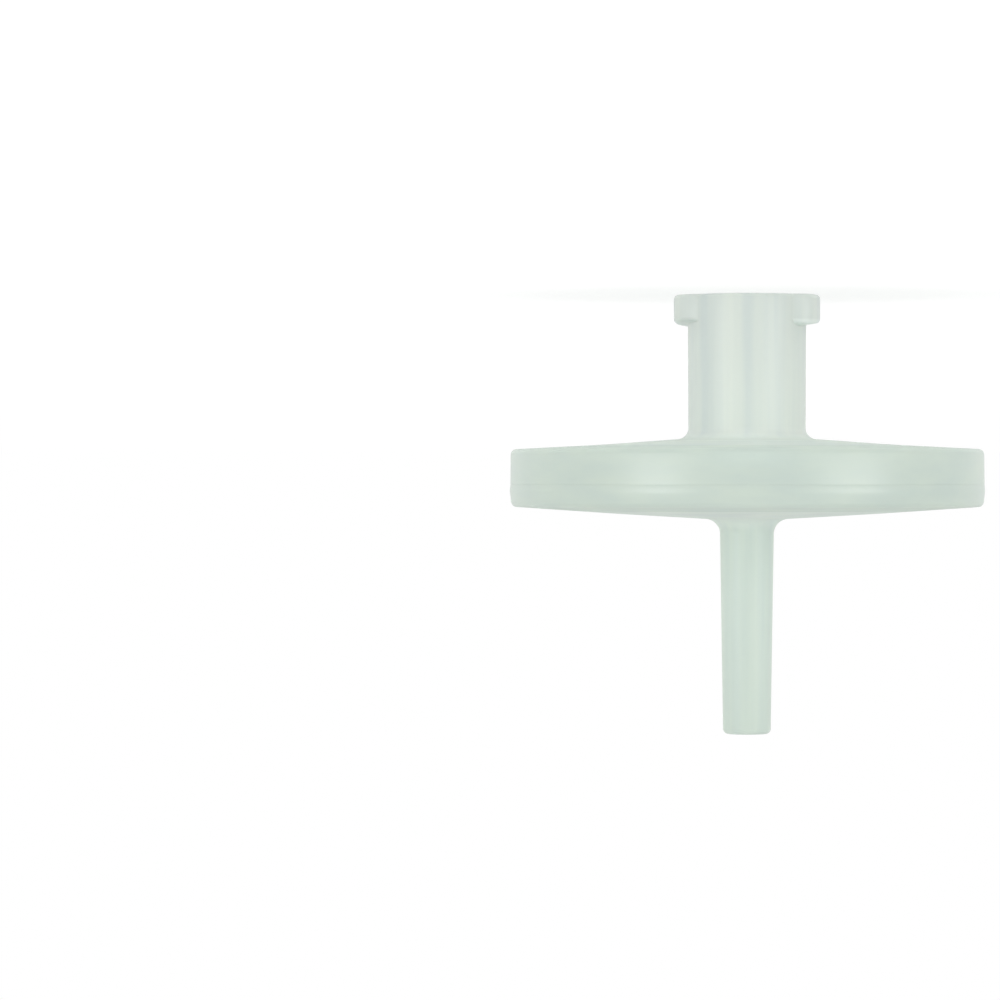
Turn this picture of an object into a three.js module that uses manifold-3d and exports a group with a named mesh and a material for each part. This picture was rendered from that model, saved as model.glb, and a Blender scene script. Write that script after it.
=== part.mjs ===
// Disc syringe filter with a female luer-lock inlet and a slim tapered outlet nozzle.
//
// Two moulded polypropylene housings are nested and welded at the rim, and clamp a membrane disc
// between them. The part stands on the flat end of its inlet hub. Z is the flow axis and points
// from the inlet to the outlet, and X runs through the middle of the two lugs. All lengths are in
// millimetres and all angles in degrees.

import * as THREE from 'three';
import { mergeVertices } from 'three/addons/utils/BufferGeometryUtils.js';
import Module from 'manifold-3d';

// Inlet hub, a female luer lock
const hubLength = 7.68;
const hubEndDiameter = 6.34;
const hubFootDiameter = 6.27;
const hubEdgeRadius = 0.15;
const hubFootRadius = 0.6;
const luerMouthDiameter = 4.3;
const luerTaper = 0.06; // loss of bore diameter for each millimetre of depth
const mouthChamfer = 0.12;
const portFloor = 1.7; // plastic between the bore's end and the chamber
const portConeDepth = 0.45;
const portDiameter = 2;

// Lugs, two short starts of a right-hand thread
const lugSpan = 7.83; // diameter over both lugs
const lugHeight = 1.42; // at the shallow end, on the crest
const lugRise = 0.16; // extra height at the deep end
const lugFlank = 0.14; // how much higher the flank is at its root than on the crest
const lugArc = 63;
const lugRampArc = 16; // stretch over which the deep end runs down to the hub
const lugEdge = 0.13;

// Disc, the outer form of both housings
const discDiameter = 25.4;
const rimDraft = 0.05; // loss of radius from the seam to the rim's edge
const rimEdgeRadius = 0.3;
const inletRise = 0.55; // slope of the inlet face, from the hub's foot out to the rim
const inletCrown = 0.055; // how far that face bulges over a straight slope
const inletRimHeight = 1.92;
const outletRimHeight = 1.26;
const outletRise = 0.59; // slope of the outlet face, from the rim in to the nozzle's foot
const outletCrown = 0.03;
const seamChamfer = 0.07;

// Weld joint: a spigot on the outlet housing inside a skirt on the inlet housing
const skirtInnerDiameter = 23;
const spigotHeight = 0.82;
const weldGap = 0.06;

// Chamber and membrane
const inletWall = 1.05; // at the rim, between the inlet face and the chamber's ceiling
const clampInnerDiameter = 16.1;
const clampWidth = 1.15;
const membraneDiameter = 17.6;
const membraneThickness = 0.15;
const membraneDepth = 0.15; // from the seam back to the membrane's seat on the outlet housing
const ribPitch = 1.22;
const ribWidth = 0.62;
const inletRibClearance = 0.1; // from the ribs' crests to the membrane
const drainDepth = 0.42; // grooves under the membrane
const channelCount = 8;
const channelWidth = 0.7;
const channelExtraDepth = 0.12;
const channelTurn = -12.5; // from X to the first channel

// Outlet nozzle
const nozzleLength = 11.5;
const nozzleFootDiameter = 2.9;
const nozzleTipDiameter = 2.55;
const nozzleFootRadius = 0.6;
const nozzleEdgeRadius = 0.28;
const outletBoreDiameter = 1;
const outletBoreDraft = 0.2; // extra bore diameter at the drain end
const drainFunnelDiameter = 2.6;
const drainFunnelDepth = 0.7;

// Facets of the round forms
const turnSegments = 64;
const filletStep = 26;

// Levels along the flow
const seamLevel = hubLength + inletRise + inletRimHeight;
const inletRimLevel = hubLength + inletRise;
const outletRimLevel = seamLevel + outletRimHeight;
const nozzleFootLevel = outletRimLevel + outletRise;
const nozzleTipLevel = nozzleFootLevel + nozzleLength;
const ceilingLevel = inletRimLevel + inletWall;
const seatLevel = seamLevel - membraneDepth;
const membraneLevel = seatLevel - membraneThickness;
const spigotLevel = seamLevel - spigotHeight;
const boreEndLevel = ceilingLevel - portFloor;
const drainLevel = seatLevel + drainDepth;

// Radii
const hubRadius = hubEndDiameter / 2;
const rimRadius = discDiameter / 2;
const skirtRadius = skirtInnerDiameter / 2;
const clampInnerRadius = clampInnerDiameter / 2;
const clampOuterRadius = clampInnerRadius + clampWidth;
const portRadius = portDiameter / 2;
const funnelRadius = drainFunnelDiameter / 2;

const wasm = await Module();
wasm.setup();

function asSolid(geometry) {
  const bare = geometry.clone();
  bare.deleteAttribute('normal');
  bare.deleteAttribute('uv');
  const merged = mergeVertices(bare, 1e-5);
  return new wasm.Manifold(new wasm.Mesh({
    numProp: 3,
    vertProperties: new Float32Array(merged.attributes.position.array),
    triVerts: new Uint32Array(merged.index.array),
  }));
}

function asGeometry(solid) {
  const { vertProperties, triVerts } = solid.getMesh();
  const geometry = new THREE.BufferGeometry();
  geometry.setAttribute('position', new THREE.BufferAttribute(vertProperties, 3));
  geometry.setIndex(new THREE.BufferAttribute(triVerts, 1));
  geometry.computeVertexNormals();
  return geometry;
}

// Outline through corners [radius, level, fillet], with an arc at each corner that has a fillet.
function filleted(corners) {
  const points = [];
  corners.forEach(([radius, level, fillet = 0], i) => {
    const corner = new THREE.Vector2(radius, level);
    if (fillet === 0) {
      points.push(corner);
      return;
    }
    const back = toward(corner, corners.at(i - 1));
    const ahead = toward(corner, corners[(i + 1) % corners.length]);
    const half = Math.acos(THREE.MathUtils.clamp(back.dot(ahead), -1, 1)) / 2;
    const centre = back.clone().add(ahead).setLength(fillet / Math.sin(half)).add(corner);
    const first = back.clone().multiplyScalar(fillet / Math.tan(half)).add(corner).sub(centre);
    const turn = (Math.PI - 2 * half) * Math.sign(back.cross(ahead)) * -1;
    const steps = Math.max(2, Math.ceil(Math.abs(THREE.MathUtils.radToDeg(turn)) / filletStep));
    for (let k = 0; k <= steps; k++) {
      points.push(first.clone().rotateAround(new THREE.Vector2(), (turn * k) / steps).add(centre));
    }
  });
  return points;
}

function toward(corner, [radius, level]) {
  return new THREE.Vector2(radius, level).sub(corner).normalize();
}

// Middle of a slightly crowned line between two corners, pushed out by the crown's height.
function crowned([radiusA, levelA], [radiusB, levelB], crown) {
  return [(radiusA + radiusB) / 2, (levelA + levelB) / 2 + crown];
}

// Solid of revolution about Z from a closed outline that runs anticlockwise.
function revolved(points) {
  const closed = [...points, points[0].clone()];
  const turned = new THREE.LatheGeometry(closed, turnSegments);
  turned.rotateX(Math.PI / 2);
  return turned;
}

// Closed solid through rings of equal length, each a list of Vector3.
function lofted(rings) {
  const sides = rings[0].length;
  const position = rings.flat().flatMap((point) => point.toArray());
  const index = [];
  for (let ring = 0; ring < rings.length - 1; ring++) {
    for (let side = 0; side < sides; side++) {
      const a = ring * sides + side;
      const b = ring * sides + ((side + 1) % sides);
      index.push(a, b + sides, b, a, a + sides, b + sides);
    }
  }
  const last = (rings.length - 1) * sides;
  for (let side = 1; side < sides - 1; side++) {
    index.push(0, side, side + 1, last, last + side + 1, last + side);
  }
  const geometry = new THREE.BufferGeometry();
  geometry.setAttribute('position', new THREE.Float32BufferAttribute(position, 3));
  geometry.setIndex(index);
  return geometry;
}

// One lug, centred on X: a ring sector whose flank climbs a right-hand helix.
function lug() {
  const root = hubRadius - 4 * lugEdge;
  const steps = 12;
  const rings = [];
  for (let k = 0; k <= steps; k++) {
    const angle = lugArc * (k / steps - 0.5);
    const ramp = Math.min(1, (lugArc / 2 - angle) / lugRampArc);
    const crest = hubRadius + (lugSpan / 2 - hubRadius) * Math.max(ramp, 0.05);
    const edge = Math.min(lugEdge, (crest - hubRadius) / 2);
    const height = lugHeight + lugRise * (k / steps);
    const section = [
      [root, 0],
      [crest - edge, 0],
      [crest, edge],
      [crest, height - edge],
      [crest - edge, height],
      [root, height + lugFlank],
    ];
    const azimuth = THREE.MathUtils.degToRad(angle);
    rings.push(section.map(([radius, level]) => new THREE.Vector3(
      radius * Math.cos(azimuth), radius * Math.sin(azimuth), level)));
  }
  return lofted(rings);
}

// Radii of the ribs' inner edges, counted inwards from the clamp ring.
function ribRadii(innermost) {
  const count = Math.floor((clampInnerRadius - innermost) / ribPitch);
  return Array.from({ length: count }, (_, i) => clampInnerRadius - ribPitch * (i + 1));
}

// Radial channels between two levels, from a radius out to the groove inside the clamp ring.
function channels(start, low, high) {
  const length = clampInnerRadius - (ribPitch - ribWidth) / 2 - start;
  return Array.from({ length: channelCount }, (_, i) => {
    const bar = new THREE.BoxGeometry(length, channelWidth, high - low);
    bar.translate(start + length / 2, 0, (low + high) / 2);
    bar.rotateZ(THREE.MathUtils.degToRad(channelTurn + (360 / channelCount) * i));
    return asSolid(bar);
  });
}

function inletHousing() {
  const ribLevel = membraneLevel - inletRibClearance;
  const foot = [hubFootDiameter / 2, hubLength];
  const rim = [rimRadius - rimDraft, inletRimLevel];
  const radii = ribRadii(portRadius + ribPitch / 2);
  const ribs = radii.flatMap((radius) => [
    [radius + ribWidth, ceilingLevel],
    [radius + ribWidth, ribLevel],
    [radius, ribLevel],
    [radius, ceilingLevel],
  ]);
  const boreEndRadius = luerMouthDiameter / 2 - (luerTaper / 2) * boreEndLevel;
  const outline = filleted([
    [luerMouthDiameter / 2 + mouthChamfer, 0],
    [hubRadius, 0, hubEdgeRadius],
    [...foot, hubFootRadius],
    crowned(foot, rim, -inletCrown),
    [...rim, rimEdgeRadius],
    [rimRadius, seamLevel - seamChamfer],
    [rimRadius - seamChamfer, seamLevel],
    [skirtRadius, seamLevel],
    [skirtRadius, spigotLevel - weldGap],
    [clampOuterRadius, spigotLevel - weldGap],
    [clampOuterRadius, membraneLevel],
    [clampInnerRadius, membraneLevel],
    [clampInnerRadius, ceilingLevel],
    ...ribs,
    [portRadius, ceilingLevel],
    [portRadius, boreEndLevel + portConeDepth],
    [boreEndRadius, boreEndLevel],
    [luerMouthDiameter / 2, mouthChamfer],
  ]);
  let body = asSolid(revolved(outline));
  const oppositeLug = lug().rotateZ(Math.PI);
  body = body.add(asSolid(lug())).add(asSolid(oppositeLug));
  const channelStart = radii.at(-1) - (ribPitch - ribWidth) / 2;
  for (const channel of channels(channelStart, ceilingLevel - channelExtraDepth, membraneLevel)) {
    body = body.subtract(channel);
  }
  return asGeometry(body);
}

function outletHousing() {
  const rim = [rimRadius - rimDraft, outletRimLevel];
  const foot = [nozzleFootDiameter / 2, nozzleFootLevel];
  const grooves = ribRadii(funnelRadius + ribPitch / 2).flatMap((radius) => [
    [radius + ribPitch, seatLevel],
    [radius + ribPitch, drainLevel],
    [radius + ribWidth, drainLevel],
    [radius + ribWidth, seatLevel],
  ]);
  const boreRadius = outletBoreDiameter / 2;
  const outline = filleted([
    [boreRadius, nozzleTipLevel],
    [boreRadius + outletBoreDraft / 2, drainLevel + drainFunnelDepth],
    [funnelRadius, drainLevel],
    [funnelRadius, seatLevel],
    ...grooves.reverse(),
    [clampOuterRadius + weldGap, seatLevel],
    [clampOuterRadius + weldGap, spigotLevel],
    [skirtRadius - weldGap, spigotLevel],
    [skirtRadius - weldGap, seamLevel],
    [rimRadius - seamChamfer, seamLevel],
    [rimRadius, seamLevel + seamChamfer],
    [...rim, rimEdgeRadius],
    crowned(rim, foot, outletCrown),
    [...foot, nozzleFootRadius],
    [nozzleTipDiameter / 2, nozzleTipLevel, nozzleEdgeRadius],
  ]);
  let body = asSolid(revolved(outline));
  for (const channel of channels(0, membraneLevel, drainLevel + channelExtraDepth)) {
    body = body.subtract(channel);
  }
  return asGeometry(body);
}

function membrane() {
  const radius = membraneDiameter / 2;
  const outline = filleted([
    [0, membraneLevel],
    [radius, membraneLevel],
    [radius, seatLevel],
    [0, seatLevel],
  ]);
  return asGeometry(asSolid(revolved(outline)));
}

const polypropylene = new THREE.MeshStandardMaterial({ color: 0xd3dfd6, roughness: 0.38 });
const membraneWhite = new THREE.MeshStandardMaterial({ color: 0xf2f2ee, roughness: 0.9 });

function piece(name, geometry, material) {
  const mesh = new THREE.Mesh(geometry, material);
  mesh.name = name;
  return mesh;
}

const filter = new THREE.Group();
filter.add(piece('inlet_housing', inletHousing(), polypropylene));
filter.add(piece('filter_membrane', membrane(), membraneWhite));
filter.add(piece('outlet_housing', outletHousing(), polypropylene));

export default filter;
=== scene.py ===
import math

import bmesh
import bpy
from mathutils import Matrix, Vector


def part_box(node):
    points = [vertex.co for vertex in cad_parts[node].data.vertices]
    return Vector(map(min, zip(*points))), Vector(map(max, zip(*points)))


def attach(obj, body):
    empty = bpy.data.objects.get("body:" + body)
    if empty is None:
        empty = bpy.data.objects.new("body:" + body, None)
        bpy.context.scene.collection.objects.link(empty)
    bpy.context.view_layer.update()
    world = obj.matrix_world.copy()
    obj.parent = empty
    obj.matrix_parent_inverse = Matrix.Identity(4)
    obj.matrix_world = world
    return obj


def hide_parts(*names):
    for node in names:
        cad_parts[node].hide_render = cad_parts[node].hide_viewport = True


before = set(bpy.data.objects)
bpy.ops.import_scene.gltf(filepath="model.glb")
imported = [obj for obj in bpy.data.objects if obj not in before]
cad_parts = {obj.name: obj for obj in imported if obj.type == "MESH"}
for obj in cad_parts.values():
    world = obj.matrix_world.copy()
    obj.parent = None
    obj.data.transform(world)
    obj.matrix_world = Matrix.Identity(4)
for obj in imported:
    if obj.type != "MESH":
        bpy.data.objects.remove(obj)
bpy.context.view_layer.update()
print("frame loaded, nodes:", ", ".join(sorted(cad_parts)))

mm = 0.001  # pieces are shaped in millimetres and brought to metres when they are finished
black, white = (0, 0, 0, 1), (1, 1, 1, 1)


def levels():
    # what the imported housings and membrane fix, in millimetres
    inletLow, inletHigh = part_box("inlet_housing")
    outletLow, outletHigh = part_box("outlet_housing")
    membraneLow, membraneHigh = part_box("filter_membrane")
    return {
        "end": inletLow.z / mm,  # the hub's flat end, on the floor
        "seam": inletHigh.z / mm,
        "spigot": outletLow.z / mm,
        "tip": outletHigh.z / mm,
        "membrane": membraneLow.z / mm,
        "seat": membraneHigh.z / mm,
        "rim": inletHigh.x / mm,
        "membraneRadius": membraneHigh.x / mm,
    }


at = levels()
finish = {
    "turnSteps": 192, "sharpAngle": 32, "matchDigits": 3,
    "onAxis": 1e-6, "turnMerge": 1e-4, "finalMerge": 2e-4,
}


# shaping helpers

def turned(corners):
    # a closed outline of (radius, level), some with a rounding's radius and segments, spun about Z
    bm = bmesh.new()
    verts = [bm.verts.new((corner[0], 0, corner[1])) for corner in corners]
    bm.faces.new(verts)
    for vert, corner in zip(verts, corners):
        if len(corner) > 2:
            roundCorner(bm, vert, *corner[2:])
    bmesh.ops.delete(bm, geom=bm.faces[:], context="FACES_ONLY")
    onAxis = [edge for edge in bm.edges
              if max(vert.co.x for vert in edge.verts) < finish["onAxis"]]
    bmesh.ops.delete(bm, geom=onAxis, context="EDGES")
    bmesh.ops.spin(bm, geom=bm.verts[:] + bm.edges[:], cent=(0, 0, 0), axis=(0, 0, 1),
                   angle=math.tau, steps=finish["turnSteps"], use_merge=True)
    bmesh.ops.remove_doubles(bm, verts=bm.verts, dist=finish["turnMerge"])
    bmesh.ops.recalc_face_normals(bm, faces=bm.faces)
    return bm


def roundCorner(bm, vert, radius, segments):
    ends = [edge.other_vert(vert).co - vert.co for edge in vert.link_edges]
    offset = radius / math.tan(ends[0].angle(ends[1]) / 2)
    bmesh.ops.bevel(bm, geom=[vert], offset=offset, offset_type="OFFSET", affect="VERTICES",
                    segments=segments, profile=0.5, material=-1, clamp_overlap=False)


def asObject(name, bm):
    mesh = bpy.data.meshes.new(name)
    bm.to_mesh(mesh)
    bm.free()
    obj = bpy.data.objects.new(name, mesh)
    bpy.context.scene.collection.objects.link(obj)
    return obj


def cutAway(obj, tool):
    # takes one closed solid out of another, and keeps the result as the mesh
    modifier = obj.modifiers.new("cut", "BOOLEAN")
    modifier.operation = "DIFFERENCE"
    modifier.solver = "MANIFOLD"
    modifier.object = tool
    evaluated = obj.evaluated_get(bpy.context.evaluated_depsgraph_get())
    mesh = bpy.data.meshes.new_from_object(evaluated)
    obj.modifiers.clear()
    obj.data = mesh
    bpy.data.objects.remove(tool)


def finished(obj, name, material, node):
    # to metres, smooth with sharp creases, then tied to the frame
    bm = bmesh.new()
    bm.from_mesh(obj.data)
    bmesh.ops.remove_doubles(bm, verts=bm.verts, dist=finish["finalMerge"])
    bmesh.ops.scale(bm, vec=(mm, mm, mm), verts=bm.verts)
    for face in bm.faces:
        face.smooth = True
    for edge in bm.edges:
        edge.smooth = edge.calc_face_angle(0) < math.radians(finish["sharpAngle"])
    mesh = bpy.data.meshes.new(name)
    bm.to_mesh(mesh)
    bm.free()
    obj.data = mesh
    obj.name = name
    mesh.materials.append(material)
    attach(obj, "root")
    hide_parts(node)
    print("finished", name, len(mesh.polygons), "faces")


# chamber pattern, shared by both housings

chamber = {
    "clampInner": 8.05, "clampOuter": 9.2,
    "ribPitch": 1.22, "ribWidth": 0.62, "inletRibs": 5, "outletRibs": 5,
    "channels": 8, "channelWidth": 0.7, "channelTurn": -12.5, "channelExtra": 0.12,
    "weldGap": 0.06, "skirtInner": 11.5, "softEdge": (0.05, 2),
}


def ribRadii(count):
    inner = chamber["clampInner"]
    return [inner - chamber["ribPitch"] * (i + 1) for i in range(count)]


def channelBars(start, low, high):
    # one bar for each radial channel, all in one cutting object
    length = chamber["clampInner"] - (chamber["ribPitch"] - chamber["ribWidth"]) / 2 - start
    size = Matrix.Diagonal((length, chamber["channelWidth"], high - low, 1))
    place = Matrix.Translation((start + length / 2, 0, (low + high) / 2))
    bm = bmesh.new()
    for i in range(chamber["channels"]):
        turn = math.radians(chamber["channelTurn"] + i * 360 / chamber["channels"])
        bmesh.ops.create_cube(bm, size=1, matrix=Matrix.Rotation(turn, 4, "Z") @ place @ size)
    return asObject("channelBars", bm)


# inlet housing: luer-lock hub, lugs, disc face, skirt, clamp ring and distribution ribs

inlet = {  # a rounding is a radius and its number of segments
    "hubLength": 7.68, "hubEnd": 3.17, "hubFoot": 3.135, "hubEdge": 0.15, "footFillet": (0.6, 10),
    "mouth": 2.15, "mouthChamfer": 0.12, "taper": 0.03, "boreFloorEdge": (0.25, 4),
    "ceiling": 9.28, "portFloor": 1.7, "portCone": 0.45, "port": 1.0,
    "portLowEdge": (0.2, 3), "portHighEdge": (0.12, 3),
    "rise": 0.59, "dip": 0.05, "crown": (60, 10), "rimDraft": 0.05, "rimEdge": (0.3, 6),
    "seamInset": 0.03, "seamChamfer": 0.002, "ribClearance": 0.1,
}

lug = {  # angles in degrees; the second lug is half a turn on
    "span": 7.83, "height": 1.38, "rise": 0.30, "flank": 0.07,
    "start": -42, "end": 34, "leadArc": 30, "trailArc": 16,
    "lowEdge": 0.24, "highEdge": 0.22, "rootFillet": 0.07, "segments": 4,
}


def hubWall(level):
    return inlet["hubEnd"] + (inlet["hubFoot"] - inlet["hubEnd"]) * level / inlet["hubLength"]


def lugSection():
    # pairs of (radius, level) from the hub's end upwards: on the plain hub, and on a full lug
    end, crest = at["end"], lug["span"] / 2
    root = lug["height"] + lug["flank"]
    hubEdge, lugEdge = inlet["hubEdge"], lug["lowEdge"]
    angles = [math.radians(90 * i / lug["segments"]) for i in range(lug["segments"] + 1)]
    quarter = [(1 - math.sin(angle), 1 - math.cos(angle)) for angle in angles]
    pairs = []
    for falling, rising in quarter:  # the rounded edge of the hub's end
        pairs.append(((inlet["hubEnd"] - hubEdge * falling, end + hubEdge * rising),
                      (crest - lugEdge * falling, end + lugEdge * rising)))
    for falling, rising in quarter:  # the lug's upper edge
        level = lug["height"] - lug["highEdge"] * falling
        pairs.append(((hubWall(level), level), (crest - lug["highEdge"] * rising, level)))
    for falling, rising in quarter:  # the fillet between its flank and the hub
        level = root + lug["rootFillet"] * rising
        pairs.append(((hubWall(level), level),
                      (hubWall(level) + lug["rootFillet"] * falling, level)))
    return pairs


def spot(radius, level):
    # a place on the hub's outline, rounded so that it can be looked up
    return round(radius, finish["matchDigits"]), round(level, finish["matchDigits"])


def raiseLugs(bm):
    # moves the hub's vertices out to the lugs, along a right-hand helix with a ramp at either end
    targets = {spot(*hub): full for hub, full in lugSection()}
    arc = lug["end"] - lug["start"]
    for vert in bm.verts:
        radius = vert.co.xy.length
        full = targets.get(spot(radius, vert.co.z))
        along = (math.degrees(math.atan2(vert.co.y, vert.co.x)) - lug["start"]) % 180
        if full is None or along > arc:
            continue
        ramp = min(1, along / lug["leadArc"], (arc - along) / lug["trailArc"])
        share = ramp * (2 - ramp)  # steep at first, level where it meets the crest
        lift = lug["rise"] * along / arc if full[1] > lug["height"] / 2 else 0
        vert.co.xy *= 1 + share * (full[0] - radius) / radius
        vert.co.z += share * (full[1] + lift - vert.co.z)
    return bm


def inletHousing(material):
    hubFoot = (inlet["hubFoot"], inlet["hubLength"])
    rim = (at["rim"] - inlet["rimDraft"], inlet["hubLength"] + inlet["rise"])
    middle = ((hubFoot[0] + rim[0]) / 2, (hubFoot[1] + rim[1]) / 2 + inlet["dip"])
    ceiling = inlet["ceiling"]
    boreEnd = ceiling - inlet["portFloor"]
    ribLevel = at["membrane"] - inlet["ribClearance"]
    pocket = at["spigot"] - chamber["weldGap"]
    seamRadius = at["rim"] - inlet["seamInset"]
    soft = chamber["softEdge"]
    ribs = []
    for radius in ribRadii(chamber["inletRibs"]):
        outer = radius + chamber["ribWidth"]
        ribs += [(outer, ceiling, *soft), (outer, ribLevel, *soft),
                 (radius, ribLevel, *soft), (radius, ceiling, *soft)]
    body = asObject("inletHousing", raiseLugs(turned([
        (inlet["mouth"] + inlet["mouthChamfer"], at["end"]),
        *[hub for hub, full in lugSection()],
        (*hubFoot, *inlet["footFillet"]),
        (*middle, *inlet["crown"]),
        (*rim, *inlet["rimEdge"]),
        (seamRadius, at["seam"] - inlet["seamChamfer"]),
        (seamRadius - inlet["seamChamfer"], at["seam"]),
        (chamber["skirtInner"], at["seam"]),
        (chamber["skirtInner"], pocket, *soft),
        (chamber["clampOuter"], pocket, *soft),
        (chamber["clampOuter"], at["membrane"]),
        (chamber["clampInner"], at["membrane"]),
        (chamber["clampInner"], ceiling, *soft),
        *ribs,
        (inlet["port"], ceiling, *inlet["portHighEdge"]),
        (inlet["port"], boreEnd + inlet["portCone"], *inlet["portLowEdge"]),
        (inlet["mouth"] - inlet["taper"] * boreEnd, boreEnd, *inlet["boreFloorEdge"]),
        (inlet["mouth"], at["end"] + inlet["mouthChamfer"]),
    ])))
    innermost = ribRadii(chamber["inletRibs"])[-1]
    start = innermost - (chamber["ribPitch"] - chamber["ribWidth"]) / 2
    cutAway(body, channelBars(start, ceiling - chamber["channelExtra"], at["membrane"]))
    finished(body, "inletHousing", material, "inlet_housing")


# outlet housing: spigot, membrane seat, drain grooves, disc face and tapered nozzle

outlet = {
    "rimHeight": 1.18, "rise": 0.70, "lift": 0.03, "crown": (60, 10),
    "rimDraft": 0.09, "rimEdge": (0.3, 6),
    "seamGap": 0.003, "seamBand": 0.32, "seamDepth": 0.034, "crest": 0.024, "crestHeight": 0.2,
    "drainDepth": 0.42, "channelStart": 0.01, "funnel": 1.3, "funnelDepth": 0.7,
    "bore": 0.5, "boreDraft": 0.1, "boreEdge": (0.2, 3),
    "nozzleFoot": 1.45, "nozzleTip": 1.275, "footFillet": (0.8, 10), "tipEdge": (0.28, 6),
}


def outletHousing(material):
    rimLevel = at["seam"] + outlet["rimHeight"]
    rim = (at["rim"] - outlet["rimDraft"], rimLevel)
    foot = (outlet["nozzleFoot"], rimLevel + outlet["rise"])
    middle = ((rim[0] + foot[0]) / 2, (rim[1] + foot[1]) / 2 + outlet["lift"])
    drain = at["seat"] + outlet["drainDepth"]
    soft = chamber["softEdge"]
    grooves = []
    for radius in reversed(ribRadii(chamber["outletRibs"])):
        crest = radius + chamber["ribWidth"]
        edge = radius + chamber["ribPitch"]
        grooves += [(crest, at["seat"], *soft), (crest, drain, *soft),
                    (edge, drain, *soft), (edge, at["seat"], *soft)]
    seatEdge = chamber["clampOuter"] + chamber["weldGap"]
    spigotEdge = chamber["skirtInner"] - chamber["weldGap"]
    seam = at["seam"] + outlet["seamGap"]
    band = seam + outlet["seamBand"]
    body = asObject("outletHousing", turned([
        (outlet["bore"], at["tip"]),
        (outlet["bore"] + outlet["boreDraft"], drain + outlet["funnelDepth"], *outlet["boreEdge"]),
        (outlet["funnel"], drain),
        (outlet["funnel"], at["seat"], *soft),
        *grooves,
        (seatEdge, at["seat"]),
        (seatEdge, at["spigot"], *soft),
        (spigotEdge, at["spigot"], *soft),
        (spigotEdge, seam),
        (at["rim"] - outlet["seamDepth"], seam),
        (at["rim"], band),
        (at["rim"] - outlet["crest"], band + outlet["crestHeight"]),
        (*rim, *outlet["rimEdge"]),
        (*middle, *outlet["crown"]),
        (*foot, *outlet["footFillet"]),
        (outlet["nozzleTip"], at["tip"], *outlet["tipEdge"]),
    ]))
    channelEnd = drain + chamber["channelExtra"]
    cutAway(body, channelBars(outlet["channelStart"], at["membrane"], channelEnd))
    finished(body, "outletHousing", material, "outlet_housing")


# membrane: a thin disc with a soft edge

membrane = {"edge": (0.04, 2)}


def membraneDisc(material):
    radius, low, high = at["membraneRadius"], at["membrane"], at["seat"]
    body = asObject("filterMembrane", turned([
        (0, low), (radius, low, *membrane["edge"]), (radius, high, *membrane["edge"]), (0, high),
    ]))
    finished(body, "filterMembrane", material, "filter_membrane")


# node helpers

def feed(tree, socket, value):
    # links the socket, or sets a plain number or colour on it
    if isinstance(value, bpy.types.NodeSocket):
        tree.links.new(value, socket)
    else:
        socket.default_value = value


def mapped(tree, value, source, target=(0, 1), interpolation="LINEAR"):
    # one range brought to another, and held at its ends
    step = tree.nodes.new("ShaderNodeMapRange")
    step.interpolation_type = interpolation
    feed(tree, step.inputs["Value"], value)
    for socket, number in zip(("From Min", "From Max", "To Min", "To Max"), (*source, *target)):
        feed(tree, step.inputs[socket], number)
    return step.outputs["Result"]


def shareBetween(tree, value, ends, interpolation="LINEAR"):
    # from 0 at one distance to 1 at another, in millimetres
    return mapped(tree, value, (ends[0] * mm, ends[1] * mm), interpolation=interpolation)


def mixed(tree, factor, first, second, blend="MIX"):
    # two colours, whose sockets on a Mix node stand after those for numbers and vectors
    mix = tree.nodes.new("ShaderNodeMix")
    mix.data_type = "RGBA"
    mix.blend_type = blend
    for place, value in ((0, factor), (6, first), (7, second)):
        feed(tree, mix.inputs[place], value)
    return mix.outputs[2]


def computed(tree, operation, *values):
    step = tree.nodes.new("ShaderNodeMath")
    step.operation = operation
    for socket, value in zip(step.inputs, values):
        feed(tree, socket, value)
    return step.outputs["Value"]


def product(tree, first, *others):
    for other in others:
        first = computed(tree, "MULTIPLY", first, other)
    return first


def coordinates(tree):
    # on the object: X, Y, the level, and the distance from the axis
    place = tree.nodes.new("ShaderNodeTexCoord").outputs["Object"]
    split = tree.nodes.new("ShaderNodeSeparateXYZ")
    tree.links.new(place, split.inputs["Vector"])
    flat = tree.nodes.new("ShaderNodeVectorMath")
    flat.operation = "MULTIPLY"
    flat.inputs[1].default_value = (1, 1, 0)
    tree.links.new(place, flat.inputs[0])
    radius = tree.nodes.new("ShaderNodeVectorMath")
    radius.operation = "LENGTH"
    tree.links.new(flat.outputs["Vector"], radius.inputs[0])
    return split.outputs["X"], split.outputs["Y"], split.outputs["Z"], radius.outputs["Value"]


def newMaterial(name):
    material = bpy.data.materials.new(name)
    material.use_nodes = True
    return material, material.node_tree, material.node_tree.nodes["Principled BSDF"]


# surface pattern, shared by both materials

# the middle of the noise is stretched to a full range
clouds = {"detail": 3, "noiseRange": (0.32, 0.68)}

mottleInputs = {
    "Low Color": "low", "High Color": "high", "Cloud Scale": "cloudScale",
    "Grain Scale": "grainScale", "Low Roughness": "lowRoughness", "High Roughness": "highRoughness",
}


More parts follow.
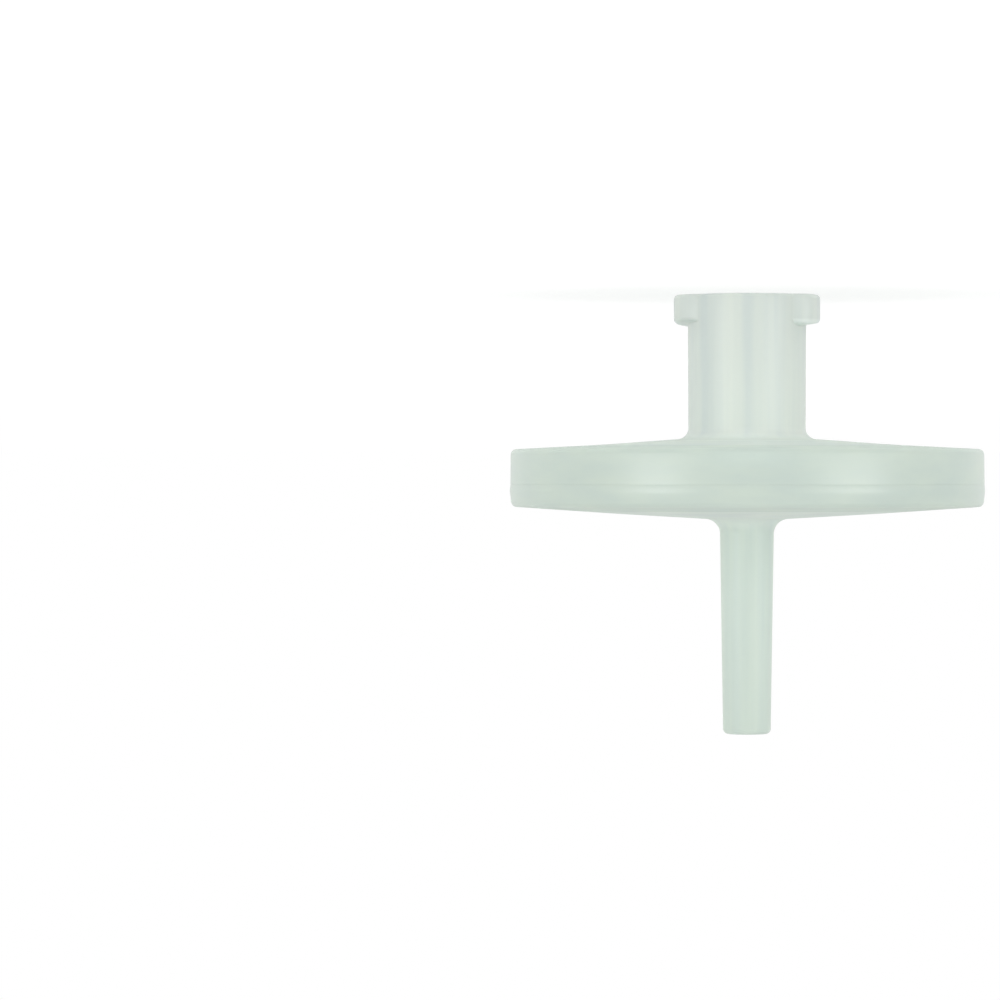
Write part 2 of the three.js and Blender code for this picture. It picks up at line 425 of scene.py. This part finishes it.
def mottleGroup():
    # soft clouds between two tones and two levels of gloss, and a fine grain as height
    group = bpy.data.node_groups.new("mottle", "ShaderNodeTree")
    inputs = [("Vector", "Vector")]
    inputs += [(name, "Color" if "Color" in name else "Float") for name in mottleInputs]
    outputs = [("Color", "Color"), ("Roughness", "Float"), ("Height", "Float")]
    for direction, sockets in (("INPUT", inputs), ("OUTPUT", outputs)):
        for name, kind in sockets:
            group.interface.new_socket(name, in_out=direction, socket_type="NodeSocket" + kind)
    given = group.nodes.new("NodeGroupInput").outputs
    result = group.nodes.new("NodeGroupOutput").inputs
    cloud = group.nodes.new("ShaderNodeTexNoise")
    cloud.inputs["Detail"].default_value = clouds["detail"]
    group.links.new(given["Vector"], cloud.inputs["Vector"])
    group.links.new(given["Cloud Scale"], cloud.inputs["Scale"])
    grain = group.nodes.new("ShaderNodeTexNoise")
    group.links.new(given["Vector"], grain.inputs["Vector"])
    group.links.new(given["Grain Scale"], grain.inputs["Scale"])
    spread = mapped(group, cloud.outputs["Fac"], clouds["noiseRange"])
    tone = mixed(group, spread, given["Low Color"], given["High Color"])
    gloss = mapped(group, spread, (0, 1), (given["Low Roughness"], given["High Roughness"]))
    group.links.new(tone, result["Color"])
    group.links.new(gloss, result["Roughness"])
    group.links.new(grain.outputs["Fac"], result["Height"])
    return group


def mottled(tree, group, look):
    # one use of the shared group, on object coordinates stretched as the look says
    place = tree.nodes.new("ShaderNodeTexCoord")
    stretch = tree.nodes.new("ShaderNodeMapping")
    stretch.inputs["Scale"].default_value = look["stretch"]
    stretch.inputs["Location"].default_value = look["shift"]
    tree.links.new(place.outputs["Object"], stretch.inputs["Vector"])
    pattern = tree.nodes.new("ShaderNodeGroup")
    pattern.node_tree = group
    tree.links.new(stretch.outputs["Vector"], pattern.inputs["Vector"])
    for socket, key in mottleInputs.items():
        pattern.inputs[socket].default_value = look[key]
    return pattern.outputs


def grainBump(tree, shader, height, look):
    bump = tree.nodes.new("ShaderNodeBump")
    bump.inputs["Strength"].default_value = look["grainStrength"]
    bump.inputs["Distance"].default_value = look["grainDepth"]
    tree.links.new(height, bump.inputs["Height"])
    tree.links.new(bump.outputs["Normal"], shader.inputs["Normal"])


# milky polypropylene of both housings; distances in millimetres

axialFlow = {  # faint flow lines along the hub and the nozzle
    "low": (0.87, 0.895, 0.925, 1), "high": (1, 1, 0.98, 1),
    "stretch": (1, 1, 0.04), "shift": (0.0444, 0.0252, 0),
    "cloudScale": 900, "grainScale": 5000, "lowRoughness": 0.38, "highRoughness": 0.46,
}

ringFlow = {  # and over the disc
    "low": (0.92, 0.935, 0.955, 1), "high": (1, 1, 0.985, 1),
    "stretch": (1, 1, 3), "shift": (0.136, 0.088, 0),
    "cloudScale": 260, "grainScale": 5000, "lowRoughness": 0.29, "highRoughness": 0.35,
}

plastic = {
    "transmission": 0.22, "ior": 1.49, "grainStrength": 0.3, "grainDepth": 0.000004,
    # where the disc starts, from the nozzle and from the hub, and where its matte faces end
    "offNozzle": (1.5, 2.2), "offHub": (7.4, 7.8), "offFace": (12.2, 12.6), "faceRoughness": 0.8,
    # the nozzle's tone, and painted shade that darkens the nozzle towards its tip
    "nozzleTone": (0.745, 0.84, 0.76, 1), "tipStart": 16, "tipPaintedShade": (0.88, 0.89, 0.88, 1),
    # rings on the disc, with painted highlight lines at the rib edges
    "reach": 12.8, "blend": 0.1, "weldLine": 0.3, "rimShade": (0.5, 0.1), "visibleRibs": 3,
    "faceTone": (0.79, 0.865, 0.80, 1), "ribTone": (0.745, 0.82, 0.76, 1),
    "lineTone": (0.81, 0.87, 0.82, 1), "weldTone": (0.70, 0.79, 0.72, 1),
    "ringTone": (0.69, 0.78, 0.705, 1), "rimTone": (0.62, 0.71, 0.637, 1),
    "channelEdge": (0.45, 0.25), "channelReach": ((2.2, 2.6), (7.95, 7.75)),
    # the hub, and painted light on the flanks of its lugs
    "hubTone": (0.73, 0.778, 0.733, 1), "lugFlankPaintedLight": (0.93, 0.985, 0.94, 1),
    "offHubWall": (3.165, 3.22), "flank": (1.3, 1.52), "pastLugs": (2.4, 2.0),
    # the luer bore: painted light, and a painted glow deeper in
    "boreEdge": (2.25, 2.15), "boreEnd": (9.7, 9.6), "glowRise": (0, 6),
    "borePaintedLight": (0.88, 0.93, 0.885, 1), "borePaintedGlow": (0.14, 0.151, 0.141, 1),
}


def toneStops():
    # tones by distance from the axis; what lies under the faces shows through them as rings
    blend, line, rim = plastic["blend"], plastic["weldLine"], at["rim"]
    nozzleEnd, faceStart = plastic["offNozzle"]
    stops = [(nozzleEnd, "nozzle"), (faceStart, "face")]
    for radius in reversed(ribRadii(plastic["visibleRibs"])):
        edge = radius + chamber["ribWidth"]
        # painted highlight: a paler line at each rib's outer edge, and one beside the clamp, for
        # the glint of those edges
        stops += [(radius, "face"), (radius + blend, "rib"), (edge - blend, "rib"),
                  (edge, "line"), (edge + blend, "face")]
    clamp, weld = chamber["clampInner"], chamber["clampOuter"]
    shadeStart, shadeEnd = plastic["rimShade"]
    stops += [(clamp, "face"), (clamp + blend, "weld"), (clamp + line, "weld"),
              (clamp + line + blend, "line"), (weld - line, "face"), (weld, "ring"),
              (rim - shadeStart, "ring"), (rim - shadeEnd, "rim")]
    return [(distance, plastic[tone + "Tone"]) for distance, tone in stops]


def channelDistance(tree, x, y, radius):
    # from the middle line of the nearest radial channel
    waves = chamber["channels"] / 2
    turn = -waves * math.radians(chamber["channelTurn"])
    phase = computed(tree, "MULTIPLY_ADD", computed(tree, "ARCTAN2", y, x), waves, turn)
    swing = computed(tree, "ABSOLUTE", computed(tree, "SINE", phase))
    return product(tree, swing, computed(tree, "DIVIDE", radius, waves))


def discTone(tree, x, y, radius):
    # rings by distance from the axis, and the ribs among them end at the channels
    ramp = tree.nodes.new("ShaderNodeValToRGB")
    elements = ramp.color_ramp.elements
    for i, (distance, colour) in enumerate(toneStops()):
        element = elements[i] if i < 2 else elements.new(1)  # a new ramp has two of its own
        element.position = distance / plastic["reach"]
        element.color = colour
    tree.links.new(shareBetween(tree, radius, (0, plastic["reach"])), ramp.inputs["Fac"])
    toMiddle = channelDistance(tree, x, y, radius)
    onChannel = product(tree, shareBetween(tree, toMiddle, plastic["channelEdge"]),
                        *[shareBetween(tree, radius, ends) for ends in plastic["channelReach"]])
    return mixed(tree, onChannel, ramp.outputs["Color"], plastic["faceTone"])


def hubTone(tree, level, radius):
    # painted light: the flanks of the lugs, in shade under the disc, are made pale as if light came
    # through them
    shadedFlank = product(tree, shareBetween(tree, radius, plastic["offHubWall"]),
                    shareBetween(tree, level, plastic["flank"]),
                    shareBetween(tree, level, plastic["pastLugs"]))
    return mixed(tree, shadedFlank, plastic["hubTone"], plastic["lugFlankPaintedLight"])


def polypropylene(group):
    material, tree, shader = newMaterial("polypropylene")
    x, y, level, radius = coordinates(tree)
    along = mottled(tree, group, axialFlow)
    around = mottled(tree, group, ringFlow)
    pastHub = shareBetween(tree, level, plastic["offHub"])
    onDisc = product(tree, shareBetween(tree, radius, plastic["offNozzle"], "SMOOTHSTEP"), pastHub)

    tone = mixed(tree, pastHub, hubTone(tree, level, radius), discTone(tree, x, y, radius))
    flow = mixed(tree, onDisc, along["Color"], around["Color"])
    colour = mixed(tree, 1, tone, flow, "MULTIPLY")
    # painted shade: the nozzle is darkened towards its tip
    shadedTip = shareBetween(tree, level, (plastic["tipStart"], at["tip"]))
    colour = mixed(tree, shadedTip, colour, plastic["tipPaintedShade"], "MULTIPLY")
    # painted light: the bore is made pale, and glows more the deeper in, standing for light that
    # its milky walls let in
    inBore = product(tree, shareBetween(tree, radius, plastic["boreEdge"]),
                     shareBetween(tree, level, plastic["boreEnd"]))
    colour = mixed(tree, inBore, colour, plastic["borePaintedLight"])
    deep = product(tree, inBore, shareBetween(tree, level, plastic["glowRise"]))
    glow = mixed(tree, deep, black, plastic["borePaintedGlow"])
    # the faces are matte, the disc's wall is glossy
    wallStart, wallEnd = plastic["offFace"]
    disc = mapped(tree, radius, (wallStart * mm, wallEnd * mm),
                  (plastic["faceRoughness"], around["Roughness"]))
    gloss = mapped(tree, onDisc, (0, 1), (along["Roughness"], disc))

    tree.links.new(colour, shader.inputs["Base Color"])
    tree.links.new(gloss, shader.inputs["Roughness"])
    tree.links.new(glow, shader.inputs["Emission Color"])
    shader.inputs["Emission Strength"].default_value = 1
    shader.inputs["IOR"].default_value = plastic["ior"]
    shader.inputs["Transmission Weight"].default_value = plastic["transmission"]
    grainBump(tree, shader, around["Height"], plastic)
    return material


# plain white of the membrane

porousWhite = {
    "low": (0.84, 0.84, 0.82, 1), "high": (0.88, 0.88, 0.86, 1),
    "stretch": (1, 1, 1), "shift": (0, 0, 0),
    "cloudScale": 900, "grainScale": 20000, "lowRoughness": 0.85, "highRoughness": 0.95,
    "grainStrength": 0.5, "grainDepth": 0.00001,
}


def membraneWhite(group):
    material, tree, shader = newMaterial("membrane")
    pattern = mottled(tree, group, porousWhite)
    tree.links.new(pattern["Color"], shader.inputs["Base Color"])
    tree.links.new(pattern["Roughness"], shader.inputs["Roughness"])
    grainBump(tree, shader, pattern["Height"], porousWhite)
    return material


# floor, light and camera

studio = {
    "floorSize": 3.0, "floorGap": 0.02, "floorColour": (0.36, 0.36, 0.36, 1), "floorRoughness": 0.9,
    "floorBounce": 0.78, "floorSeen": 0.7, "worldLight": 0.84, "worldSeen": 1,
}

lamps = {
    "leftSoftBox": {"away": 0.45, "turn": 44, "width": 0.2, "height": 0.024,
                    "level": 0.014, "power": 0.36},
    "rightSoftBox": {"away": 0.45, "turn": -52, "width": 0.24, "height": 0.024,
                     "level": 0.014, "power": 0.36},
    "topSoftBox": {"away": 0.05, "turn": 0, "width": 0.3, "height": 0.3,
                   "level": 0.45, "power": 0.22},
}

view = {
    "distance": 0.264, "turn": 263, "eyeLevel": 9.8 * mm, "lens": 177.25, "clipStart": 0.01,
    "aimAside": 13.24 * mm, "aimLevel": 10.98 * mm,
}


def strengthByRay(tree, light, seen):
    # one strength for diffuse light, one for what is seen, even by reflection or through plastic
    path = tree.nodes.new("ShaderNodeLightPath").outputs
    direct = path["Is Camera Ray"]
    for ray in ("Is Glossy Ray", "Is Transmission Ray"):
        direct = computed(tree, "MAXIMUM", direct, path[ray])
    return mapped(tree, direct, (0, 1), (light, seen))


def whiteWorld():
    world = bpy.data.worlds.new("whiteStudio")
    bpy.context.scene.world = world
    world.use_nodes = True
    tree = world.node_tree
    background = tree.nodes["Background"].inputs
    background["Color"].default_value = white
    strength = strengthByRay(tree, studio["worldLight"], studio["worldSeen"])
    tree.links.new(strength, background["Strength"])


def paleFloor():
    bm = bmesh.new()
    bmesh.ops.create_grid(bm, x_segments=1, y_segments=1, size=studio["floorSize"] / 2)
    bmesh.ops.translate(bm, vec=(0, 0, (at["end"] - studio["floorGap"]) * mm), verts=bm.verts)
    floor = asObject("floor", bm)
    material, tree, shader = newMaterial("paleFloor")
    shader.inputs["Base Color"].default_value = studio["floorColour"]
    shader.inputs["Roughness"].default_value = studio["floorRoughness"]
    shader.inputs["Specular IOR Level"].default_value = 0
    shader.inputs["Emission Color"].default_value = white
    glow = strengthByRay(tree, studio["floorBounce"], studio["floorSeen"])
    tree.links.new(glow, shader.inputs["Emission Strength"])
    # clear from below, so that the hub's side of the part can be seen through it
    side = tree.nodes.new("ShaderNodeNewGeometry")
    clear = tree.nodes.new("ShaderNodeBsdfTransparent")
    either = tree.nodes.new("ShaderNodeMixShader")
    tree.links.new(side.outputs["Backfacing"], either.inputs["Fac"])
    tree.links.new(shader.outputs["BSDF"], either.inputs[1])
    tree.links.new(clear.outputs["BSDF"], either.inputs[2])
    tree.links.new(either.outputs["Shader"], tree.nodes["Material Output"].inputs["Surface"])
    floor.data.materials.append(material)


def softBox(name, look):
    # aimed at the disc's seam
    angle = math.radians(view["turn"] + look["turn"])
    lamp = bpy.data.lights.new(name, "AREA")
    lamp.shape = "RECTANGLE"
    lamp.size = look["width"]
    lamp.size_y = look["height"]
    lamp.energy = look["power"]
    obj = bpy.data.objects.new(name, lamp)
    bpy.context.scene.collection.objects.link(obj)
    obj.location = (look["away"] * math.cos(angle), look["away"] * math.sin(angle), look["level"])
    aim = Vector((0, 0, at["seam"] * mm)) - obj.location
    obj.rotation_euler = aim.to_track_quat("-Z", "Y").to_euler()


def rolledCamera():
    # level with the disc and turned over, so that the hub is at the top
    angle = math.radians(view["turn"])
    near = Vector((math.cos(angle), math.sin(angle), 0))
    right = Vector((math.sin(angle), -math.cos(angle), 0))
    data = bpy.data.cameras.new("camera")
    data.lens = view["lens"]
    data.clip_start = view["clipStart"]
    camera = bpy.data.objects.new("camera", data)
    bpy.context.scene.collection.objects.link(camera)
    place = near * view["distance"] + Vector((0, 0, view["eyeLevel"]))
    aim = Vector((0, 0, view["aimLevel"])) - right * view["aimAside"]
    back = (place - aim).normalized()
    across = Vector((0, 0, -1)).cross(back).normalized()
    axes = Matrix((across, back.cross(across), back)).transposed()
    camera.matrix_world = Matrix.Translation(place) @ axes.to_4x4()
    bpy.context.scene.camera = camera


mottle = mottleGroup()
milky = polypropylene(mottle)
inletHousing(milky)
outletHousing(milky)
membraneDisc(membraneWhite(mottle))

whiteWorld()
paleFloor()
for name, look in lamps.items():
    softBox(name, look)
rolledCamera()
bpy.context.scene.view_settings.view_transform = "Standard"
print("studio ready")
